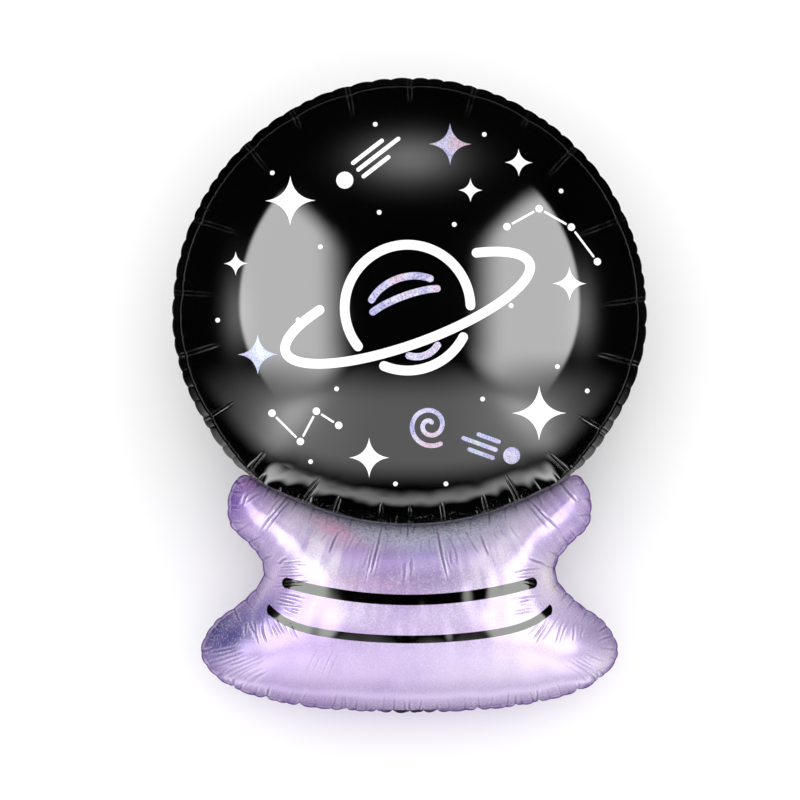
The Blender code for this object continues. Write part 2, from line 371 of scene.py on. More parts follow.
def ball_push(angle, share, reach):
    """How far the foil stands out along its normal, at creases and puckers. The creases' lengths
    are multiplied by reach."""
    push = np.zeros(len(angle))
    pillow_depth = PILLOW_DEPTH + (PILLOW_SEAM_DEPTH - PILLOW_DEPTH) * near_seam(angle)
    for number, (_, full_length) in enumerate(BALL_CREASES):
        length = full_length * reach
        across = across_crease(angle, share, number)
        grown, pair = fold_pair(share, length)
        for line in (-pair, pair):
            push -= CREASE_DEPTH * grown * np.exp(-((across - line) / CREASE_WIDTH) ** 2)
        push += RIDGE_HEIGHT * grown * np.exp(-(across / RIDGE_WIDTH) ** 2)
        near_rim = step(length - (1 - share) * BALL_RADIUS, 0, length)
        push -= pillow_depth * near_rim * np.exp(-np.abs(across) / PILLOW_WIDTH)
    run = angle * BALL_RADIUS
    waves = sum(weight * np.sin(run / size + slant * share) for weight, size, slant in SEAM_WAVES)
    push += SEAM_WAVE_HEIGHT * waves * near_seam(angle) * step(share, *SEAM_WAVE_FADE)
    cusp = ball_scallops.at(run) ** 3
    start = 1 - ball_scallops.cell_share(run) * CUSP_REACH
    return push - CUSP_DEPTH * cusp * step((share - start) / (1 - start), 0, 1)


def near_seam(angle):
    """1 along the seam with the stand, fading to 0 beside it."""
    return step(np.cos(angle), *SEAM_FADE)


def weld_width(angle):
    """Width of the ball's weld, which is hardly seen along the seam."""
    return RIM_WELD_WIDTH + (SEAM_WELD_WIDTH - RIM_WELD_WIDTH) * near_seam(angle)


def disc_share(points):
    """Angle from straight down, and share of the way out to the ball's weld."""
    angle, distance = polar(points)
    reach = ball_reach(angle)
    return angle, (distance + weld_width(angle) * (distance / reach) ** WELD_BLEND) / reach


def fold_lines(points):
    """How much each point of the ball lies on one of its creases' two fold lines."""
    angle, share = disc_share(points[:, :2])
    folds = np.zeros(len(points))
    for number, (_, length) in enumerate(BALL_CREASES):
        across = across_crease(angle, np.minimum(share, 1), number)
        grown, pair = fold_pair(share, length)
        folds += grown * np.exp(-((np.abs(across) - pair) / FOLD_WIDTH) ** 2)
    return np.clip(folds, 0, 1)


def ball_surface(angle, slope, reach_share):
    """Points of the ball's sheet, by angle from straight down and by the foil's slope."""
    share = np.sqrt(np.sin(slope))
    push = ball_push(angle, share, reach_share)
    weld = weld_width(angle) * share ** WELD_BLEND
    reach = share * ball_reach(angle) - weld + push * np.sin(slope)
    height = MEAN_RADIUS * swell(slope) + push * np.cos(slope) + WELD_THICKNESS / 2
    return np.column_stack([towards(angle, reach), height])


def ball_normals(angle, slope, reach_share):
    """Unit normals of the same points, by small steps either way."""
    nudge = 0.0006
    around = (ball_surface(angle + nudge, slope, reach_share)
              - ball_surface(angle - nudge, slope, reach_share))
    low = np.clip(slope - nudge, 1e-6, math.pi / 2)
    high = np.clip(slope + nudge, 1e-6, math.pi / 2)
    outwards = ball_surface(angle, high, reach_share) - ball_surface(angle, low, reach_share)
    normals = np.cross(outwards, around)
    normals[np.linalg.norm(normals, axis=1) < 1e-15] = (0, 0, 1)
    return unit(normals)


# Printed design on the ball

def arc(centre, radii, turn, start, end, count=60):
    """Points along part of an ellipse. Angles are in degrees."""
    angles = np.radians(np.linspace(start, end, count))
    x = radii[0] * np.cos(angles)
    y = radii[1] * np.sin(angles)
    lean = math.radians(turn)
    return np.column_stack([centre[0] + x * math.cos(lean) - y * math.sin(lean),
                            centre[1] + x * math.sin(lean) + y * math.cos(lean)])


def stroke(line, width):
    """Outline of a round-ended stroke along a line."""
    line = np.array(line, float)
    along = unit(np.gradient(line, axis=0))
    beside = left_of(along) * width / 2
    turns = np.linspace(0, math.pi, 9)[1:-1, None]
    head = line[-1] + beside[-1] * np.cos(turns) + along[-1] * width / 2 * np.sin(turns)
    tail = line[0] - beside[0] * np.cos(turns) - along[0] * width / 2 * np.sin(turns)
    return np.vstack([line + beside, head, (line - beside)[::-1], tail])


def bar(start, end, width):
    """Outline of a straight round-ended stroke."""
    return stroke(np.linspace(start, end, 8), width)


def disc(centre, radius):
    count = max(12, int(2 * math.pi * radius / PRINT_STEP))
    return arc(centre, (radius, radius), 0, 0, 360 - 360 / count, count)


def glint(centre, size, turn=0.0, waist=0.22):
    """Outline of a four-pointed sparkle with hollow sides."""
    tips = np.radians(turn + np.arange(4) * 90)
    points = []
    for tip in tips:
        start = np.array([math.cos(tip), math.sin(tip)]) * size
        end = np.array([-math.sin(tip), math.cos(tip)]) * size
        middle = (start + end) / 2 * waist
        for t in np.linspace(0, 1, 10, endpoint=False):
            points.append((1 - t) ** 2 * start + 2 * t * (1 - t) * middle + t * t * end)
    return np.array(points) + centre


def design():
    """The print, as pairs of outline and colour."""
    bold = 0.0095
    fine = 0.0070
    planet = (-0.002, 0.006)
    ring_turn = 20
    shapes = []
    for radii, start, end, count, width, colour in (
        ((0.062, 0.062), -18, 198, 60, bold, WHITE), ((0.062, 0.062), 228, 312, 60, bold, WHITE),
        ((0.128, 0.036), 130, 410, 110, bold, WHITE), ((0.040, 0.030), 40, 140, 40, fine, SILVER),
        ((0.044, 0.012), 40, 140, 40, fine, SILVER), ((0.034, 0.050), 244, 296, 30, fine, SILVER),
    ):
        shapes.append((stroke(arc(planet, radii, ring_turn, start, end, count), width), colour))

    for centre, size, colour in (
        ((-0.118, 0.112), 0.025, WHITE), ((0.128, -0.098), 0.027, WHITE),
        ((0.040, 0.168), 0.021, SILVER), ((-0.150, -0.040), 0.020, SILVER),
        ((0.158, 0.030), 0.017, WHITE), ((-0.040, -0.142), 0.020, WHITE),
        ((0.060, 0.122), 0.012, WHITE), ((-0.172, 0.050), 0.012, WHITE),
        ((0.108, 0.150), 0.014, WHITE),
    ):
        shapes.append((glint(centre, size), colour))

    for head, heading, length, colour in (
        ((-0.064, 0.132), 38, 0.050, WHITE), ((0.101, -0.140), 160, 0.034, SILVER),
    ):
        shapes.append((disc(head, 0.0085), colour))
        away = np.array([math.cos(math.radians(heading)), math.sin(math.radians(heading))])
        beside = np.array([-away[1], away[0]])
        for offset, share in ((-0.0085, 0.62), (0.0, 1.0), (0.0085, 0.72)):
            start = np.array(head) + away * 0.017 + beside * offset
            shapes.append((bar(start, start + away * length * share, 0.0042), colour))

    stars = np.array([(0.096, 0.086), (0.128, 0.104), (0.160, 0.086), (0.186, 0.052)])
    chain = np.array([(-0.136, -0.098), (-0.108, -0.126), (-0.092, -0.096), (-0.070, -0.110)])
    for dots in (stars, chain):
        for start, end in zip(dots, dots[1:]):
            gap = (end - start) / np.linalg.norm(end - start) * 0.0065
            shapes.append((bar(start + gap, end - gap, 0.0022), WHITE))
        for dot in dots:
            shapes.append((disc(dot, 0.0038), WHITE))

    turns = np.radians(np.linspace(60, 660, 70))
    reach = np.linspace(0.0035, 0.021, 70)
    spiral = np.column_stack([0.020 + reach * np.cos(turns), -0.110 + reach * np.sin(turns)])
    shapes.append((stroke(spiral, 0.0045), SILVER))

    for dot in ((-0.088, 0.066), (0.100, 0.008), (-0.110, -0.006), (-0.030, 0.100), (0.072, -0.084),
                (-0.014, -0.168), (0.146, -0.052), (-0.190, -0.006), (-0.034, 0.188), (0.074, 0.178),
                (0.176, -0.076), (-0.098, -0.146), (0.036, -0.168), (-0.136, 0.140), (0.150, 0.122),
                (0.044, 0.088), (-0.072, -0.074)):
        shapes.append((disc(dot, 0.0024), WHITE))
    return shapes


def inside(outline, points):
    """Which points an outline goes round."""
    found = np.zeros(len(points), bool)
    low = outline.min(axis=0)
    high = outline.max(axis=0)
    near = np.nonzero(np.all((points >= low) & (points <= high), axis=1))[0]
    x = points[near, 0]
    y = points[near, 1]
    odd = np.zeros(len(near), bool)
    for (x0, y0), (x1, y1) in zip(outline, np.roll(outline, -1, axis=0)):
        if y0 == y1:
            continue
        crosses = (y0 > y) != (y1 > y)
        odd ^= crosses & (x < x0 + (y - y0) / (y1 - y0) * (x1 - x0))
    found[near] = odd
    return found


# Meshes

def triangulated(points, edges, kind, closeness):
    """Points joined by triangles: their places, the triangles, and which points became which."""
    coords = [Vector(point) for point in points]
    edges = [(int(a), int(b)) for a, b in edges]
    made, _, faces, origins, _, _ = delaunay_2d_cdt(coords, edges, [], kind, closeness, True)
    places = np.array([tuple(point) for point in made])
    return places, np.array([tuple(face) for face in faces]), origins


def turned_up(points, triangles):
    """The triangles all turned the same way round, and twice their areas."""
    corners = points[triangles]
    first = corners[:, 1] - corners[:, 0]
    second = corners[:, 2] - corners[:, 0]
    area = first[:, 0] * second[:, 1] - first[:, 1] * second[:, 0]
    return np.where(area[:, None] < 0, triangles[:, ::-1], triangles), np.abs(area)


def fill_disc(rim, points, edges):
    """Triangles over a round sheet: corner points, with the rim's first, and point numbers."""
    made, faces, origins = triangulated(np.vstack([rim, points]), edges, 0, 1e-7)
    order = np.full(len(made), -1)
    for number, sources in enumerate(origins):
        first = [source for source in sources if source < len(rim)]
        if first:
            order[number] = first[0]
    order[order < 0] = len(rim) + np.arange(np.count_nonzero(order < 0))
    placed = np.zeros((len(made), 2))
    placed[order] = made
    return placed, turned_up(placed, order[faces])[0]


def strip(outer, inner, count):
    """Triangles between two closed rows of points, by the numbers of their first points."""
    spoke = np.arange(count)
    beside = (spoke + 1) % count
    return np.vstack([
        np.column_stack([outer + spoke, outer + beside, inner + beside]),
        np.column_stack([outer + spoke, inner + beside, inner + spoke]),
    ])


def spoke_angles():
    """Angles from straight down of the ball's spokes, closer together at its creases."""
    even = np.linspace(0, 2 * math.pi, 30001)
    crowd = np.ones(len(even))
    for number in range(len(BALL_CREASES)):
        off = across_crease(even, 1.0, number) / CROWDING_WIDTH
        crowd += CREASE_CROWDING * np.exp(-off ** 2)
    run = np.concatenate([[0], np.cumsum((crowd[1:] + crowd[:-1]) / 2)])
    return np.interp(np.arange(BALL_SPOKES) / BALL_SPOKES * run[-1], run, even)


def crease_points(fine):
    """Rows of points along the ball's creases, in its disc."""
    gap = fine / BALL_RADIUS
    columns = np.arange(-CREASE_COLUMNS, CREASE_COLUMNS + 1) * CREASE_STEP
    rows = []
    for number, (centre, length) in enumerate(BALL_CREASES):
        for share in np.arange(BALL_INNER_SHARE - gap, 1 - length / BALL_RADIUS, -gap):
            across = columns - crease_leans[number] * (1 - share) * BALL_RADIUS
            rows.append(towards(math.radians(centre) + across / (share * BALL_RADIUS), share))
    return np.vstack(rows)


def near_creases(points):
    """Which points of the disc are close beside a crease."""
    angle, share = polar(points)
    near = np.zeros(len(points), bool)
    for number, (_, length) in enumerate(BALL_CREASES):
        beside = np.abs(across_crease(angle, share, number)) < (CREASE_COLUMNS + 0.8) * CREASE_STEP
        near |= beside & (share > 1 - length / BALL_RADIUS)
    return near


def free_points(fine):
    """Rings of points over the middle of the ball's disc, closer together towards the rim."""
    rings = [np.zeros((1, 2))]
    share = gap = BALL_SPACING / BALL_RADIUS
    while share < BALL_INNER_SHARE - gap * 0.5:
        around = int(2 * math.pi * share / gap)
        turns = 2 * math.pi * (np.arange(around) + 0.5 * (len(rings) % 2)) / around
        rings.append(towards(turns, share))
        spacing = BALL_SPACING + (fine - BALL_SPACING) * float(step(share, *BALL_GRADING))
        gap = spacing / BALL_RADIUS
        share += gap
    return np.vstack(rings)


def ball_sheet(rings, fine, shapes, reach_share):
    """One sheet of the ball: points, normals, triangles and each triangle's colour. The first
    points are its rim, anticlockwise from straight down."""
    free = free_points(fine)
    outlines = [towards(*disc_share(outline)) for outline, _ in shapes]
    edges = []
    if shapes:
        free = np.vstack([free[~near_creases(free)], crease_points(fine)])
        drawn = np.vstack(outlines)
        nearest = np.array([np.min(np.sum((drawn - point) ** 2, axis=1)) for point in free])
        free = free[nearest > PRINT_CLEAR ** 2]
        start = BALL_SPOKES + len(free)
        for outline in outlines:
            numbers = start + np.arange(len(outline))
            edges.extend(zip(numbers, np.roll(numbers, -1)))
            start += len(outline)
        free = np.vstack([free, drawn])
    angles = spoke_angles()
    flat, inner_triangles = fill_disc(towards(angles, BALL_INNER_SHARE), free, edges)
    colours = np.zeros(len(inner_triangles), int)
    centres = flat[inner_triangles].mean(axis=1)
    for outline, (_, colour) in zip(outlines, shapes):
        colours[inside(outline, centres)] = colour

    angle, share = polar(flat[BALL_SPOKES:])
    slopes = np.linspace(math.pi / 2, float(slope_at(BALL_INNER_SHARE)), rings)
    all_angles = np.concatenate([np.tile(angles, rings), angle])
    all_slopes = np.concatenate([np.repeat(slopes, BALL_SPOKES), slope_at(share)])
    firsts = np.arange(rings) * BALL_SPOKES
    strips = np.vstack([strip(*pair, BALL_SPOKES) for pair in zip(firsts, firsts[1:])])
    points = ball_surface(all_angles, all_slopes, reach_share)
    normals = ball_normals(all_angles, all_slopes, reach_share)
    triangles = np.vstack([strips, inner_triangles + firsts[-1]])
    return points, normals, triangles, np.concatenate([np.zeros(len(strips), int), colours])


def closed_foil(front, back, edge):
    """Both sheets and the weld that joins them, as one closed skin."""
    points, normals, triangles, colours = front
    back_points, back_normals, back_triangles, back_colours = back
    mirror = (1, 1, -1)
    count = len(edge)
    back_start = len(points)
    front_edge = back_start + len(back_points)
    back_edge = front_edge + count
    weld = np.vstack([strip(front_edge, 0, count), strip(back_edge, back_start, count)[:, ::-1],
                      strip(back_edge, front_edge, count)])
    faces = np.vstack([triangles, back_triangles[:, ::-1] + back_start, weld])
    all_colours = np.concatenate([colours, back_colours, np.full(len(weld), WELD_COLOUR)])
    top = np.column_stack([edge, np.full(count, WELD_THICKNESS / 2)])

    out = unit(edge - edge.mean(axis=0))
    seam = near_seam(polar(edge)[0])[:, None]
    sideways, up = (rim + (along - rim) * seam for rim, along in zip(EDGE_NORMAL, SEAM_NORMAL))
    edge_normals = np.hstack([out * sideways, up])
    glints = random.uniform(-1, 1, (count, 3)) * (random.uniform(0, 1, count) < SEAM_GLINTS)[:, None]
    edge_normals += glints * seam * GLINT_LEAN
    all_points = np.vstack([points, back_points * mirror, top, top * mirror])
    all_normals = np.vstack([normals, back_normals * mirror, edge_normals, edge_normals * mirror])
    return all_points, all_normals, faces, all_colours


def in_scene(name, data):
    """A new object in the scene."""
    made = bpy.data.objects.new(name, data)
    bpy.context.scene.collection.objects.link(made)
    return made


def add_piece(name, points, normals, faces, colours, folds, materials):
    """A smooth piece in the balloon's plane, laid where the solids lie and flat on the floor."""
    world = np.array(plane)
    laid = points @ world[:3, :3].T + world[:3, 3]
    laid[:, 2] = np.maximum(laid[:, 2], 0)
    mesh = bpy.data.meshes.new(name)
    mesh.from_pydata(laid.tolist(), [], faces.tolist())
    mesh.attributes.new(OWN_PLACE, "FLOAT_VECTOR", "POINT").data.foreach_set("vector", points.ravel())
    mesh.attributes.new(FOLD, "FLOAT", "POINT").data.foreach_set("value", folds)
    for material in materials:
        mesh.materials.append(material)
    mesh.polygons.foreach_set("material_index", colours.astype(np.int32))
    mesh.shade_smooth()
    if normals is not None:
        mesh.normals_split_custom_set_from_vertices((normals @ world[:3, :3].T).tolist())
    mesh.validate()
    return in_scene(name, mesh)


# The stand's shape

def smooth_line(points, count):
    """Points spaced evenly along a smooth curve through the given points."""
    knots = np.array([2 * points[0] - points[1], *points, 2 * points[-1] - points[-2]])
    fine = []
    for before, start, end, after in zip(knots, knots[1:], knots[2:], knots[3:]):
        for t in np.linspace(0, 1, 24, endpoint=False):
            fine.append(0.5 * (2 * start + (end - before) * t
                               + (2 * before - 5 * start + 4 * end - after) * t ** 2
                               + (3 * start - before - 3 * end + after) * t ** 3))
    fine.append(knots[-2])
    return evenly(np.array(fine), count)


def evenly(line, count):
    """The same line with evenly spaced points."""
    run = np.concatenate([[0], np.cumsum(np.linalg.norm(np.diff(line, axis=0), axis=1))])
    even = np.linspace(0, run[-1], count)
    return np.column_stack([np.interp(even, run, line[:, axis]) for axis in (0, 1)])


def moved_in(outline, distance):
    """A closed anticlockwise outline moved inwards, by one distance or by one for each point."""
    inwards = left_of(unit(np.roll(outline, -1, axis=0) - np.roll(outline, 1, axis=0)))
    return outline + inwards * np.reshape(distance, (-1, 1))


def stand_outline():
    """The stand's rim, anticlockwise from its right horn, evenly spaced."""
    half = math.radians(SEAM_HALF_ANGLE)
    turns = np.linspace(half, -half, 200)
    seam = towards(turns, ball_reach(turns) + SEAM_GAP)
    corner = seam[0]
    side = np.array([(share * STAND_HALF_WIDTH, corner[1] - down * STAND_HEIGHT)
                     for share, down in STAND_SIDE])
    right = smooth_line(np.vstack([corner, side]), 400)
    left = right * (-1, 1)
    loop = np.vstack([seam, left[1:], right[-2::-1]])
    return evenly(loop, STAND_SPOKES + 1)[:-1]


def skin_sag(points, triangles, held):
    """Sag of an evenly loaded skin whose first points are held, by conjugate gradients."""
    corners = points[triangles]
    area = turned_up(points, triangles)[1] / 2
    opposite = np.roll(corners, -1, axis=1) - np.roll(corners, 1, axis=1)
    first, second = np.divmod(np.arange(9), 3)
    rows = triangles[:, first].T.ravel()
    columns = triangles[:, second].T.ravel()
    products = np.sum(opposite[:, first] * opposite[:, second], axis=2)
    weights = (products / (4 * area[:, None])).T.ravel()
    load = np.bincount(triangles.ravel(), np.repeat(area / 3, 3), len(points))
    load[:held] = 0
    diagonal = np.bincount(rows[rows == columns], weights[rows == columns], len(points))
    sag = np.zeros(len(points))
    rest = load
    eased = rest / diagonal
    way = eased.copy()
    size = rest @ eased
    first = size
    for _ in range(3000):
        pulled = np.bincount(rows, weights * way[columns], len(points))
        pulled[:held] = 0
        share = size / (way @ pulled)
        sag += share * way
        rest -= share * pulled
        eased = rest / diagonal
        after = rest @ eased
        if after < first * 1e-12:
            break
        way = eased + after / size * way
        size = after
    return sag


def groove(points, start, end, depth, width):
    """A crease pressed along a straight line that fades at both ends, with a ridge beside it on
    either side."""
    wander = 0.4
    ridge_off = 1.9
    ridge_share = 0.45
    start = np.array(start)
    along = np.array(end) - start
    length = np.linalg.norm(along)
    along /= length
    push = np.zeros(len(points))
    far = np.hypot(*(points - start - along * length / 2).T)
    near = np.nonzero(far < length / 2 + 6 * width)[0]
    off = points[near] - start
    t = off @ along / length
    across = off[:, 0] * -along[1] + off[:, 1] * along[0]
    across = across + width * wander * np.sin(t * 5 + start[0] * 900)
    fade = np.sin(np.pi * np.clip(t, 0, 1)) ** 0.7
    ridges = sum(np.exp(-(across / width + side) ** 2) for side in (-ridge_off, ridge_off))
    push[near] = depth * fade * (ridge_share * ridges - np.exp(-(across / width) ** 2))
    return push


def photo_point(x, y):
    """Place in the balloon's plane of a point of the photograph, which is 1 mm to the pixel."""
    return (x - PHOTO_CENTRE[0]) / 1000, (PHOTO_CENTRE[1] - y) / 1000


def rim_puckers(outline, scallops):
    """Short creases from the weld inwards where two of the stand's arcs meet."""
    inner = moved_in(outline, 1.0) - outline
    beside = left_of(inner)
    lines = []
    for spoke in range(STAND_SPOKES):
        cusp = scallops[spoke]
        after = scallops[(spoke + 1) % STAND_SPOKES]
        if cusp < PUCKER_CUSP or cusp < scallops[spoke - 1] or cusp <= after:
            continue
        reach = random.uniform(*PUCKER_REACH)
        aside = beside[spoke] * random.uniform(-PUCKER_LEAN, PUCKER_LEAN)
        start = outline[spoke] - inner[spoke] * reach * 0.3
        end = outline[spoke] + (inner[spoke] + aside) * (WELD_WIDTH + reach)
        lines.append((start, end, random.uniform(*PUCKER_DEPTH), PUCKER_WIDTH))
    return lines


def stand_lines(outline, scallops, front):
    """The creases of one of the stand's sheets: start, end, depth and width."""
    lines = rim_puckers(outline, scallops)
    if not front:
        for _ in range(BACK_CREASES):
            start = np.array([random.uniform(-0.13, 0.13), random.uniform(-0.37, -0.20)])
            lean = random.uniform(-0.6, 0.6)
            along = np.array([math.sin(lean), math.cos(lean)]) * BACK_CREASE_LENGTH
            lines.append((start, start + along, BACK_CREASE_DEPTH, BACK_CREASE_WIDTH))
        return lines
    for x0, y0, x1, y1, depth, width in STAND_CREASES:
        lines.append((photo_point(x0, y0), photo_point(x1, y1), depth / 1000, width / 1000))
    for *ends, count, depth, width in STAND_FANS:
        first, last = np.reshape(ends, (2, 2, 2))
        for number in range(count):
            t = number / (count - 1) + random.uniform(-0.4, 0.4) / (count - 1)
            near, far = first * (1 - t) + last * t
            middle = near + (far - near) * random.uniform(0.4, 0.6)
            half = (far - near) / 2 * random.uniform(0.5, 1.3) + random.uniform(-1, 1, 2)
            start, end = photo_point(*(middle - half)), photo_point(*(middle + half))
            lines.append((start, end, depth / 1000 * random.uniform(0.55, 1.3), width / 1000))
    for start, height in notch_starts(outline):
        lean = start[0] * 0.9 + random.uniform(-0.15, 0.15)
        reach = height / 1000
        tip = start + (-lean * reach, reach)
        depth = random.uniform(*NOTCH_CREASE_DEPTH)
        lines.append((start - (0, reach * 0.8), tip, depth, NOTCH_CREASE_WIDTH))
    return lines


def notch_starts(outline):
    """Places of the notches on the foot's edge, each with the length of its crease."""
    foot = outline[outline[:, 1] < -0.33]
    found = []
    for x, length in STAND_NOTCHES:
        off = np.abs(foot[:, 0] - photo_point(x, 0)[0])
        found.append((foot[np.argmin(off)], length))
    return found


def notched(outline):
    """Depth of the notches at each point of the stand's rim."""
    depth = np.zeros(len(outline))
    for start, _ in notch_starts(outline):
        depth += NOTCH_DEPTH * np.exp(-np.hypot(*(outline - start).T) / NOTCH_REACH)
    return depth


def stand_push(points, lines):
    """How far the stand's foil stands out along its normal at the given creases."""
    push = np.zeros(len(points))
    for line in lines:
        push += groove(points, *line)
    return push


def dents(points):
    """Shallow soft dents all over the stand."""
    push = np.zeros(len(points))
    for _ in range(DENTS):
        heading = random.uniform(0, math.pi)
        length = random.uniform(*DENT_LENGTH) / (2 * math.pi)
        start = random.uniform(0, 6)
        along = points[:, 0] * math.cos(heading) + points[:, 1] * math.sin(heading)
        push += np.sin(along / length + start)
    return push * DENT_DEPTH


def hex_grid(low, high, spacing):
    """Points of an even three-way grid over a box."""
    grid = []
    for number, y in enumerate(np.arange(low[1], high[1], spacing * 0.866)):
        x = np.arange(low[0] + spacing * 0.5 * (number % 2), high[0], spacing)
        grid.append(np.column_stack([x, np.full(len(x), y)]))
    return np.vstack(grid)


def on_seam(outline):
    """Which points of the stand's rim lie along the ball."""
    angle, distance = polar(outline)
    return distance < ball_reach(angle) + SEAM_GAP + 0.0002


def stand_sheet(outline, scallops, spacing, front):
    """One sheet of the stand, like the ball's, and how far each point lies in a fold."""
    chamber = moved_in(outline, np.where(on_seam(outline), SEAM_WELD_WIDTH, WELD_WIDTH))
    rings = [moved_in(chamber, distance) for distance in STAND_RIM_STEPS]
    limit = moved_in(chamber, STAND_RIM_STEPS[-1] + spacing * 0.7)
    box = (outline.min(axis=0), outline.max(axis=0))
    lines = stand_lines(outline, scallops, front)
    grid = hex_grid(*box, spacing)
    if front:
        fine = hex_grid(*box, STAND_FINE_SPACING)
        fine = fine[np.abs(stand_push(fine, lines)) > PRESSED]
        grid = np.vstack([grid[np.abs(stand_push(grid, lines)) <= PRESSED], fine])
    given = np.vstack([*rings, grid[inside(limit, grid)]])
    ring = np.arange(STAND_SPOKES)
    made, faces, origins = triangulated(given, zip(ring, np.roll(ring, -1)), 1, 1e-9)
    order = np.array([sources[0] for sources in origins])
    flat = np.zeros(given.shape)
    flat[order] = made
    triangles, area = turned_up(flat, order[faces])
    triangles = triangles[inside(chamber, flat[triangles].mean(axis=1)) & (area > 1e-12)]

    sag = skin_sag(flat, triangles, STAND_SPOKES)
    lift = np.clip(sag / sag.max(), 0, 1)
    height = STAND_THICKNESS / 2 * swell(slope_at(np.sqrt(1 - lift))) / swell(0.0)
    points = np.column_stack([flat, height + WELD_THICKNESS / 2])
    normals = face_normals(points, triangles)
    creases = stand_push(flat, lines)
    from_rim = np.sqrt(lift)
    push = creases * step(from_rim, *CREASE_FADE) + dents(flat) * step(from_rim, *DENT_FADE)
    for number, distance in enumerate(STAND_RIM_STEPS):
        at_ring = slice(number * STAND_SPOKES, (number + 1) * STAND_SPOKES)
        push[at_ring] -= STAND_CUSP_DEPTH * scallops ** 2 * (1 - distance / STAND_CUSP_REACH)
    points += normals * push[:, None]
    points[:, 2] = np.maximum(points[:, 2], WELD_THICKNESS / 2)
    folds = np.clip(-creases / FULL_FOLD, -1, 1)
    return points, normals, triangles, np.zeros(len(triangles), int), folds


def face_normals(points, triangles):
    """Unit normals at the points, from the triangles round each."""
    corners = points[triangles]
    normals = np.cross(corners[:, 1] - corners[:, 0], corners[:, 2] - corners[:, 0])
    gathered = np.zeros((len(points), 3))
    for corner in range(3):
        for axis in range(3):
            gathered[:, axis] += np.bincount(triangles[:, corner], normals[:, axis], len(points))
    return unit(gathered)


# Materials

class Nodes:
    """Short ways to add and link shader nodes."""

    def __init__(self, tree):
        self.tree = tree
        tree.nodes.clear()

    def fill(self, sockets, values):
        """Links or sets a node's sockets, by name or number."""
        for name, value in values.items():
            socket = sockets[name]
            if isinstance(value, bpy.types.NodeSocket):
                self.tree.links.new(value, socket)
            else:
                socket.default_value = (*value, 1) if socket.type == "RGBA" else value

    def add(self, kind, inputs=None, **settings):
        node = self.tree.nodes.new(kind)
        for name, value in settings.items():
            setattr(node, name, value)
        self.fill(node.inputs, inputs or {})
        return node

    def math(self, operation, first, *others):
        """The first value alone, or worked on by each of the others in turn."""
        for value in others or [None]:
            inputs = {0: first} if value is None else {0: first, 1: value}
            first = self.add("ShaderNodeMath", inputs, operation=operation).outputs[0]
        return first

    def times(self, *values):
        return self.math("MULTIPLY", *values)

    def plus(self, *values):
        return self.math("ADD", *values)

    def minus(self, first, second):
        return self.math("SUBTRACT", first, second)

    def over(self, first, second):
        return self.math("DIVIDE", first, second)

    def squares(self, *values):
        """Sum of the squares of the values."""
        return self.plus(*(self.times(value, value) for value in values))

    def distance(self, *values):
        return self.math("SQRT", self.squares(*values))

    def spot(self, *values):
        """1 where all the values are 0, fading to 0 round it."""
        return self.math("EXPONENT", self.times(self.squares(*values), -1.0))

    def ramp(self, value, start, end, low=0.0, high=1.0):
        """Smooth step of a value."""
        inputs = {"Value": value, "From Min": start, "From Max": end, "To Min": low, "To Max": high}
        return self.add("ShaderNodeMapRange", inputs, interpolation_type="SMOOTHSTEP").outputs[0]

    def mix(self, share, first, second):
        """A mix of two colours, with its share held between 0 and 1."""
        inputs = {0: share, 6: first, 7: second}
        return self.add("ShaderNodeMix", inputs, data_type="RGBA", clamp_factor=True).outputs[2]

    def split(self, vector):
        return self.add("ShaderNodeSeparateXYZ", {"Vector": vector}).outputs


class Surface(Nodes):
    """A piece's material, with patterns that follow the places on the piece."""

    def __init__(self, name):
        self.material = bpy.data.materials.new(name)
        self.material.use_nodes = True
        super().__init__(self.material.node_tree)
        self.shader = self.add("ShaderNodeBsdfPrincipled")
        self.add("ShaderNodeOutputMaterial", {"Surface": self.shader.outputs[0]})
        self.place = self.add("ShaderNodeAttribute", attribute_name=OWN_PLACE).outputs["Vector"]

    def fold(self):
        return self.add("ShaderNodeAttribute", attribute_name=FOLD).outputs["Fac"]

    def grain(self, scale, detail=3.0, place=None):
        """Soft noise."""
        inputs = {"Vector": place or self.place, "Scale": scale, "Detail": detail}
        return self.add("ShaderNodeTexNoise", inputs).outputs[0]

    def cells(self, scale):
        """Small cells: each one's own value, and the distance from its middle."""
        cells = self.add("ShaderNodeTexVoronoi", {"Vector": self.place, "Scale": scale})
        return cells.outputs["Color"], cells.outputs["Distance"]

    def ball_share(self):
        """Distance from the ball's centre, as a share of its own reach that way."""
        x, y, _ = self.split(self.place)
        return self.distance(self.over(x, BALL_RADIUS), self.over(y, BALL_DROP))

    def patch(self, centre, reach, turn):
        """A soft oval patch, placed and turned as in the photograph."""
        x, y, _ = self.split(self.place)
        middle = photo_point(*centre)
        across = self.minus(x, middle[0])
        up = self.minus(y, middle[1])
        cos = math.cos(math.radians(turn)) * 1000
        sin = math.sin(math.radians(turn)) * 1000
        return self.spot(
            self.plus(self.times(across, cos / reach[0]), self.times(up, sin / reach[0])),
            self.plus(self.times(across, -sin / reach[1]), self.times(up, cos / reach[1])),
        )

    def finished(self, colour, roughness, **uniform):
        """The material. Names of further values have _ for a space."""
        values = {name.replace("_", " "): value for name, value in uniform.items()}
        self.fill(self.shader.inputs, {"Base Color": colour, "Roughness": roughness, **values})
        return self.material


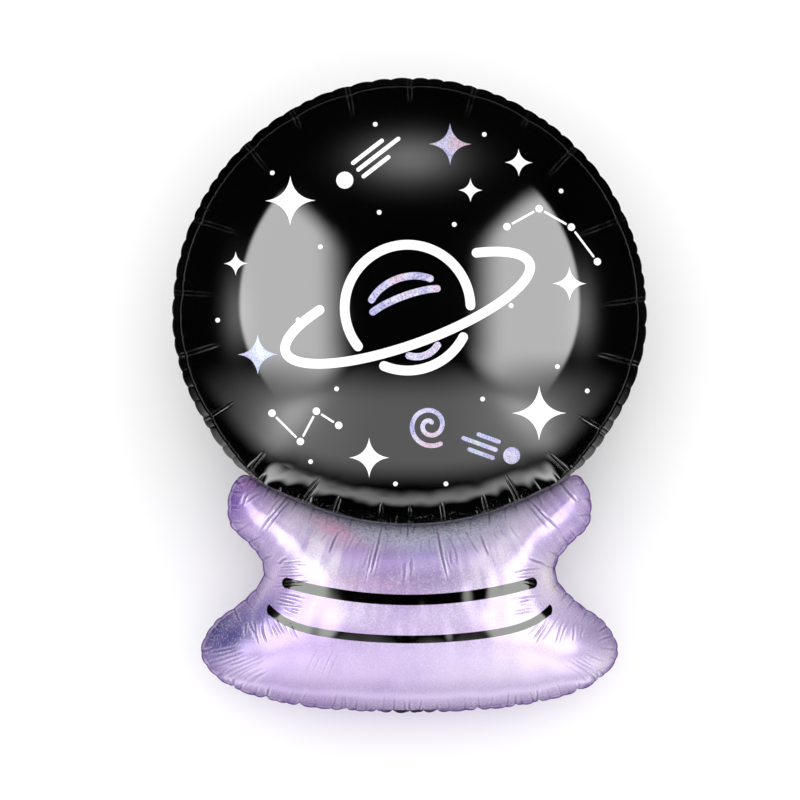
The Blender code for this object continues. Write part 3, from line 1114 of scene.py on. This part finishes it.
def black_foil():
    foil = Surface("black_foil")
    fine = foil.grain(60.0)
    broad = foil.ramp(foil.grain(9.0), 0.3, 0.7)
    colour = foil.mix(broad, (0.0004, 0.0004, 0.0005), (0.0010, 0.0010, 0.0012))
    # Painted highlight: paler along the creases' fold lines
    painted_crease_highlight = foil.times(foil.fold(), foil.ramp(fine, 0.35, 0.65, 0.3, 1.0))
    colour = foil.mix(painted_crease_highlight, colour, (0.030, 0.030, 0.032))
    # Painted glints: tiny bright specks in the foil just above the seam
    cell, distance = foil.cells(850.0)
    y = foil.split(foil.place)[1]
    glints = foil.times(
        foil.ramp(cell, 0.84, 0.90), foil.ramp(distance, 0.55, 0.35),
        foil.ramp(foil.ball_share(), 0.950, 0.975), foil.ramp(y, -0.165, -0.190),
    )
    colour = foil.mix(glints, colour, (0.75, 0.75, 0.80))
    return foil.finished(colour, foil.ramp(fine, 0.3, 0.7, 0.05, 0.07), IOR=FOIL_IOR)


def white_ink():
    ink = Surface("white_ink")
    fine = ink.grain(500.0)
    colour = ink.mix(ink.ramp(fine, 0.3, 0.7), (0.90, 0.90, 0.90), (0.97, 0.97, 0.97))
    return ink.finished(colour, ink.ramp(fine, 0.3, 0.7, 0.16, 0.24))


def silver_ink():
    ink = Surface("holographic_silver")
    cell, _ = ink.cells(950.0)
    tints = ink.add("ShaderNodeValToRGB", {"Fac": ink.grain(26.0)})
    stops = tints.color_ramp.elements
    stops[0].position = SILVER_TINTS[0][0]
    stops[1].position = SILVER_TINTS[-1][0]
    for position, _ in SILVER_TINTS[1:-1]:
        stops.new(position)
    for stop, (_, tint) in zip(stops, SILVER_TINTS):
        stop.color = (*tint, 1)
    sparkle = ink.times(ink.ramp(cell, 0.2, 0.95), 0.42)
    colour = ink.mix(sparkle, tints.outputs[0], (0.96, 0.96, 1.0))
    return ink.finished(colour, ink.ramp(cell, 0.0, 1.0, 0.22, 0.42), Metallic=0.35)


def stripe_mask(foil):
    """1 on the two printed stripes of the stand's front, 0 elsewhere."""
    x, y, z = foil.split(foil.place)
    width_off = foil.math("ABSOLUTE", x)
    off_stripes = []
    for low, half, width, rise, extra in STAND_STRIPES:
        held = foil.math("MINIMUM", width_off, half - width / 2)
        share = foil.over(held, half)
        curve = foil.plus(foil.times(foil.math("POWER", share, 2.0), rise),
                          foil.times(foil.math("POWER", share, 8.0), extra), photo_point(0, low)[1])
        slope = foil.plus(foil.times(share, 2 * rise / half),
                          foil.times(foil.math("POWER", share, 7.0), 8 * extra / half))
        lean = foil.distance(slope, 1.0)
        above = foil.over(foil.minus(y, curve), lean)
        past = foil.times(foil.minus(width_off, held), lean)
        off_stripes.append(foil.minus(foil.distance(above, past), width / 2))
    drawn = foil.ramp(foil.math("MINIMUM", *off_stripes), 0.0002, -0.0002)
    return foil.times(drawn, foil.ramp(z, 0.001, 0.002))


def lilac_foil():
    foil = Surface("lilac_foil")
    speck, _ = foil.cells(720.0)
    coarse, _ = foil.cells(470.0)
    broad = foil.ramp(foil.grain(7.5, 4.0), 0.40, 0.60)
    colour = foil.mix(broad, (0.50, 0.37, 0.68), (0.62, 0.50, 0.77))
    uneven = foil.ramp(foil.grain(28.0, 5.0), 0.22, 0.52, 0.4, 1.0)
    # Painted highlights and painted shade, patch by patch, broken up by soft noise
    for centre, reach, turn, tint, strength in PAINTED_HIGHLIGHT_AND_SHADE_PATCHES:
        share = foil.times(foil.patch(centre, reach, turn), uneven, strength)
        colour = foil.mix(share, colour, tint)

    # Painted streaks of sheen and shade, and a painted speckled sheen, that follow the seam
    # under the ball
    x, y, _ = foil.split(foil.place)
    round_ball = foil.ball_share()
    turn = foil.times(foil.math("ARCTAN2", x, y), 34.0)
    rays = foil.add("ShaderNodeCombineXYZ", {"X": turn, "Y": foil.times(round_ball, 3.0)})
    painted_sheen_streaks = foil.grain(1.0, 4.0, rays.outputs[0])
    for streak, fade, tint in (
        ((0.42, 0.70), (1.65, 1.10, 0.0, 0.5), (0.36, 0.25, 0.58)),
        ((0.46, 0.26), (1.75, 1.10, 0.1, 0.7), (0.80, 0.71, 0.90)),
    ):
        share = foil.times(foil.ramp(painted_sheen_streaks, *streak), foil.ramp(round_ball, *fade))
        colour = foil.mix(share, colour, tint)
    # Painted sheen on the stand just below the ball, near the seam's middle
    beside = foil.ramp(foil.math("ABSOLUTE", x), 0.135, 0.040)
    painted_sheen = foil.times(foil.ramp(round_ball, 1.17, 1.01), beside)
    colour = foil.mix(foil.times(painted_sheen, 0.8), colour, PAINTED_SEAM_SHEEN)
    pink = foil.times(foil.patch((336, 529), (24, 9), -27), uneven, 0.9)
    colour = foil.mix(pink, colour, SEAM_PINK)

    # Glitter, strongest at the foot's left end and at the middle
    foot = foil.times(foil.patch((226, 632), (46, 28), 20), 0.20)
    middle = foil.times(foil.patch((411, 576), (66, 16), 0), 0.16)
    for cell, strength in ((speck, foil.plus(foot, middle, 0.07)), (coarse, foil.times(painted_sheen, 0.75))):
        dark = foil.times(foil.ramp(cell, 0.50, 0.15), strength)
        colour = foil.mix(dark, colour, (0.26, 0.24, 0.48))
        bright = foil.times(foil.ramp(cell, 0.55, 0.85), strength, 0.8)
        colour = foil.mix(bright, colour, (0.92, 0.92, 1.00))

    # Painted shade along fold bottoms and the seam's weld, painted highlight along fold ridges
    fold = foil.fold()
    colour = foil.mix(foil.times(fold, 0.62), colour, (0.14, 0.07, 0.30))
    colour = foil.mix(foil.times(fold, -1.5), colour, (0.74, 0.67, 0.84))
    stripes = stripe_mask(foil)
    colour = foil.mix(stripes, colour, (0.098, 0.102, 0.094))
    rough = foil.times(foil.ramp(speck, 0.0, 1.0, 0.18, 0.30), foil.minus(1.0, stripes))
    rough = foil.plus(rough, foil.times(stripes, 0.08))
    return foil.finished(colour, rough, Metallic=foil.plus(foil.times(stripes, 0.75), 0.25), IOR=1.55)


def purple_edge():
    foil = Surface("purple_weld")
    fine = foil.grain(120.0)
    colour = foil.mix(foil.ramp(fine, 0.35, 0.65), (0.34, 0.22, 0.54), (0.55, 0.42, 0.74))
    colour = foil.mix(foil.ramp(foil.fold(), 0.35, 0.95), colour, (0.10, 0.05, 0.20))
    # Painted shade of a crumple in the weld at the middle of the foot's bottom edge
    painted_crumple_shade = foil.times(foil.patch((410, 708), (34, 14), 0), 1.2)
    colour = foil.mix(painted_crumple_shade, colour, (0.03, 0.02, 0.05))
    return foil.finished(colour, foil.ramp(fine, 0.3, 0.7, 0.25, 0.4), Metallic=0.3)


# Studio

def studio():
    """Soft boxes as parts of the sky, placed by where a mirror ball of foil would show them: u
    and v are shares of its radius, across and up."""
    world = bpy.data.worlds.new("studio")
    world.use_nodes = True
    world.cycles.sampling_method = "NONE"
    bpy.context.scene.world = world
    sky = Nodes(world.node_tree)
    way = sky.add("ShaderNodeTexCoord").outputs["Generated"]
    turned = sky.add("ShaderNodeVectorRotate", {"Vector": way, "Angle": -tilt}, rotation_type="X_AXIS")
    x, y, z = sky.split(turned.outputs[0])
    side = sky.math("SQRT", sky.math("MAXIMUM", 1e-9, sky.minus(1.0, sky.times(z, z))))
    share = sky.math("POWER", sky.times(sky.minus(1.0, z), 0.5), 0.25)
    u = sky.math("ABSOLUTE", sky.times(share, sky.over(x, side)))
    v = sky.times(share, sky.over(y, side))

    def blob(centre, spread, strength):
        offs = [sky.over(sky.minus(value, middle), reach)
                for value, middle, reach in zip((u, v), centre, spread)]
        return sky.times(sky.spot(*offs), strength)

    # Side boxes: sharp outer edge, soft inner and lower edges, slanted top
    side_box = sky.times(
        sky.ramp(sky.minus(share, sky.times(v, 0.07)), 0.713, 0.691),
        sky.ramp(u, 0.23, 0.40),
        sky.ramp(v, -0.38, -0.17),
        sky.ramp(sky.minus(v, sky.times(u, 0.92)), 0.10, -0.03),
        sky.ramp(v, 0.57, 0.45),
        0.46,
    )
    halo = blob((0.715, 0.00), (0.060, 0.16), 0.10)
    # Lower fill, brightest to both sides
    low_edge = sky.minus(v, sky.times(sky.math("POWER", u, 3.0), 0.62))
    low_fill = sky.times(
        sky.plus(sky.times(sky.ramp(u, 0.95, 0.50), 0.098), blob((0.46, -0.47), (0.15, 0.19), 0.23)),
        sky.ramp(v, -0.22, -0.46),
        sky.ramp(low_edge, -0.85, -0.70),
    )
    # Glow of the pale stand in the foil just above the seam
    glow_edge = sky.minus(share, sky.times(sky.math("POWER", u, 4.0), 0.8))
    glow = sky.times(
        sky.ramp(glow_edge, 0.850, 0.906),
        sky.ramp(glow_edge, 0.940, 0.908),
        sky.ramp(v, -0.54, -0.68),
        sky.ramp(u, 0.62, 0.52),
        sky.plus(blob((0.48, -0.76), (0.10, 0.2), 0.12), 0.13),
    )
    top = blob((0.0, 0.645), (0.18, 0.092), 0.145)
    # Pale ground straight below, seen in the steep foil at the rim
    below = sky.times(
        sky.ramp(share, 0.986, 0.991),
        sky.ramp(share, 0.988, 1.0, 0.017, 0.010),
        sky.ramp(v, 0.85, 0.30, 0.50, 1.0),
        sky.ramp(v, -0.80, -0.50),
    )
    dim = 0.0003
    foil_share = ((FOIL_IOR - 1) / (FOIL_IOR + 1)) ** 2
    rays = sky.add("ShaderNodeLightPath").outputs
    once = sky.math("LESS_THAN", rays["Glossy Depth"], 1.5)
    light = sky.times(sky.plus(side_box, halo, low_fill, glow, top, below, dim), once, 1 / foil_share)

    white = (1, 1, 1)
    shown = None
    for ray, colour, strength in (
        (None, white, light), ("Is Diffuse Ray", white, 1.22),
        ("Is Camera Ray", (0.93, 0.93, 0.94), 1.0),
    ):
        part = sky.add("ShaderNodeBackground", {"Color": colour, "Strength": strength}).outputs[0]
        if ray:
            part = sky.add("ShaderNodeMixShader", {0: rays[ray], 1: shown, 2: part}).outputs[0]
        shown = part
    sky.add("ShaderNodeOutputWorld", {"Surface": shown})


def floor():
    paint = Surface("pale_floor")
    soft = paint.grain(3.0, place=paint.add("ShaderNodeTexCoord").outputs["Object"])
    colour = paint.mix(paint.ramp(soft, 0.3, 0.7), (0.94, 0.94, 0.94), (0.96, 0.96, 0.96))
    size = 6.0
    corners = [(-size, -size, 0), (size, -size, 0), (size, size, 0), (-size, size, 0)]
    mesh = bpy.data.meshes.new("floor")
    mesh.from_pydata(corners, [], [(0, 1, 2, 3)])
    mesh.materials.append(paint.finished(colour, 0.9, Specular_IOR_Level=0.1))
    ground = in_scene("floor", mesh)
    ground.visible_glossy = False


def camera():
    """Looks straight down on the balloon's plane, as the photograph does."""
    frame_width = 0.8
    data = bpy.data.cameras.new("photo_view")
    data.lens = 400.0
    data.sensor_width = 36.0
    seen_from = in_scene("photo_view", data)
    distance = frame_width * data.lens / data.sensor_width
    seen_from.matrix_world = plane @ Matrix.Translation((*photo_point(400, 400), distance))
    bpy.context.scene.camera = seen_from


def overhead():
    """A wide soft light that only brightens matt surfaces, and doesn't show in the gloss."""
    data = bpy.data.lights.new("overhead", "AREA")
    data.shape = "SQUARE"
    data.size = 3.0
    data.energy = 8.0
    lamp = in_scene("overhead", data)
    lamp.location = (0, 0, 2.6)
    lamp.visible_glossy = False


# Pieces

def ball_piece():
    angles = spoke_angles()
    arcs = SCALLOP_PROUD - SCALLOP_DEPTH * ball_scallops.at(angles * BALL_RADIUS)
    arcs += np.minimum(ball_push(angles, np.ones(BALL_SPOKES), 1.0), 0) * NOTCH_SHARE
    off_seam = step(np.cos(angles), *ARCS_FADE)
    edge = towards(angles, ball_reach(angles) + arcs * off_seam)
    front = ball_sheet(BALL_FRONT_RINGS, BALL_FRONT_FINE, design(), 1.0)
    back = ball_sheet(BALL_BACK_RINGS, BALL_BACK_FINE, [], BACK_REACH)
    skin = closed_foil(front, back, edge)
    inks = [black_foil(), white_ink(), silver_ink(), black_foil()]
    return add_piece("foil_ball", *skin, fold_lines(skin[0]), inks)


def stand_piece():
    outline = stand_outline()
    length = float(np.sum(np.linalg.norm(outline - np.roll(outline, 1, axis=0), axis=1)))
    scallops = Scallops(length, STAND_SCALLOPS).at(np.arange(STAND_SPOKES) * length / STAND_SPOKES)
    front = stand_sheet(outline, scallops, STAND_FRONT_SPACING, True)
    back = stand_sheet(outline, scallops, STAND_BACK_SPACING, False)
    beside_ball = on_seam(outline)
    in_by = STAND_SCALLOP_DEPTH * scallops + notched(outline) - STAND_PROUD
    edge = moved_in(outline, np.where(beside_ball, -SEAM_GAP, in_by))
    points, _, faces, colours = closed_foil(front[:4], back[:4], edge)
    colours[-6 * STAND_SPOKES:][np.tile(beside_ball, 6)] = 0
    # Fold value 1 at the weld's points: in the lilac foil along the seam this paints a thin line of
    # shade, and round the rim it darkens the purple weld towards its outer edge
    folds = np.concatenate([front[4], back[4], np.ones(2 * STAND_SPOKES)])
    foils = [lilac_foil(), lilac_foil(), lilac_foil(), purple_edge()]
    made = add_piece("foil_stand", points, None, faces, colours, folds, foils)
    made.visible_glossy = False
    return made


camera()
studio()
overhead()
floor()
bpy.context.scene.view_settings.view_transform = "Standard"

ball = ball_piece()
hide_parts("crystal_ball")
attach(ball, "root")

stand = stand_piece()
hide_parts("stand")
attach(stand, "root")
